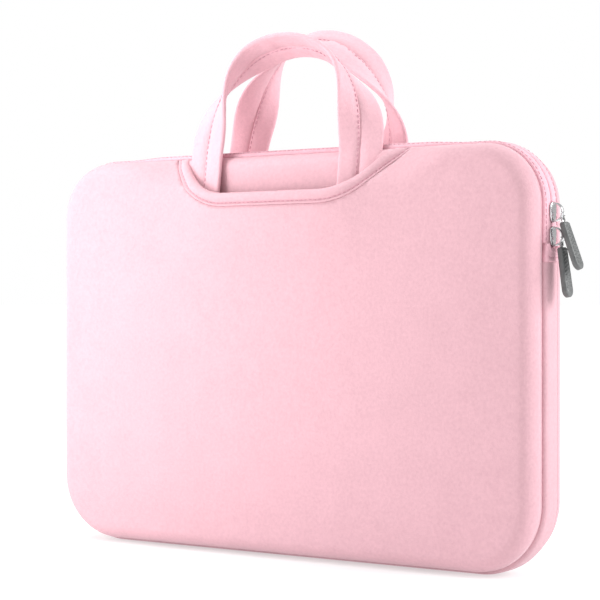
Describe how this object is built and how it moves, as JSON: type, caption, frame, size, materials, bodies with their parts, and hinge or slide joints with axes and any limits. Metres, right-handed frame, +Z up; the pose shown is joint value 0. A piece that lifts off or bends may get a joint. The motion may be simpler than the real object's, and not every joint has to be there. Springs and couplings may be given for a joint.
{
  "type": "laptop sleeve",
  "caption": "Padded laptop sleeve with rounded corners, scooped outer pockets, looped carry handles and a zip with sliders and pulls that opens round the top.",
  "frame": {"origin": "middle of the flat base of the gusset", "axes": "+Z up, X along the long side, front face at -Y"},
  "size_m": [0.3733, 0.07, 0.3284],
  "materials": {
    "knit": "fine matt knit face on neoprene",
    "lining": "smooth brushed lining cloth",
    "foam": "matt closed-cell foam",
    "seam_tape": "ribbed bias tape",
    "binding": "stitched padded knit binding",
    "zip_tape": "fine woven tape",
    "zip_coil": "satin nylon coil",
    "strap": "stitched knit strap",
    "webbing_core": "plain woven webbing",
    "slider_metal": "polished nickel plate",
    "pull_rubber": "satin moulded rubber"
  },
  "bodies": {
    "root": {"front_lining_lower": "lining", "rear_lining": "lining", "front_foam_lower": "foam", "rear_foam": "foam", "front_shell_lower": "knit", "rear_shell": "knit", "front_pocket_panel_lower": "knit", "rear_pocket_panel": "knit", "front_seam_tape_lower": "seam_tape", "rear_seam_tape": "seam_tape", "gusset_band": "knit", "gusset_lining": "lining", "left_zip_end_tab": "zip_tape", "right_zip_end_tab": "zip_tape", "rear_pocket_binding": "binding", "rear_zip_tape": "zip_tape", "rear_zip_coil": "zip_coil", "rear_handle_anchors": "strap"},
    "front_flap": {"front_lining_upper": "lining", "front_foam_upper": "foam", "front_shell_upper": "knit", "front_pocket_panel_upper": "knit", "front_seam_tape_upper": "seam_tape", "front_pocket_binding": "binding", "front_zip_tape": "zip_tape", "front_zip_coil": "zip_coil", "front_handle_anchors": "strap"},
    "front_handle": {"front_handle_strap": "strap", "front_handle_core": "webbing_core"},
    "rear_handle": {"rear_handle_strap": "strap", "rear_handle_core": "webbing_core"},
    "upper_slider": {"upper_slider_body": "slider_metal", "upper_slider_bridge": "slider_metal"},
    "lower_slider": {"lower_slider_body": "slider_metal", "lower_slider_bridge": "slider_metal"},
    "upper_pull": {"upper_pull_link": "slider_metal", "upper_pull_grip": "pull_rubber"},
    "lower_pull": {"lower_pull_link": "slider_metal", "lower_pull_grip": "pull_rubber"}
  },
  "joints": [
    {"name": "front_opening", "type": "hinge", "parent": "root", "child": "front_flap", "pos_m": [0, -0.022, 0.187], "axis": [1, 0, 0], "range_deg": [0, 55]},
    {"name": "front_handle_tip", "type": "hinge", "parent": "front_flap", "child": "front_handle", "pos_m": [0, -0.0162, 0.247], "axis": [1, 0, 0], "range_deg": [-1, 100]},
    {"name": "rear_handle_tip", "type": "hinge", "parent": "root", "child": "rear_handle", "pos_m": [0, 0.0162, 0.247], "axis": [-1, 0, 0], "range_deg": [-1, 80]},
    {"name": "upper_slider_travel", "type": "hinge", "parent": "root", "child": "upper_slider", "pos_m": [0.137, 0, 0.21], "axis": [0, -1, 0], "range_deg": [0, 90]},
    {"name": "lower_slider_travel", "type": "slide", "parent": "root", "child": "lower_slider", "axis": [0, 0, 1], "range_m": [0, 0.0017]},
    {"name": "upper_pull_swing", "type": "hinge", "parent": "upper_slider", "child": "upper_pull", "pos_m": [0.182, 0, 0.2076], "axis": [0, -1, 0], "range_deg": [-2, 150]},
    {"name": "lower_pull_swing", "type": "hinge", "parent": "lower_slider", "child": "lower_pull", "pos_m": [0.182, 0, 0.1938], "axis": [0, -1, 0], "range_deg": [-9, 6]}
  ]
}
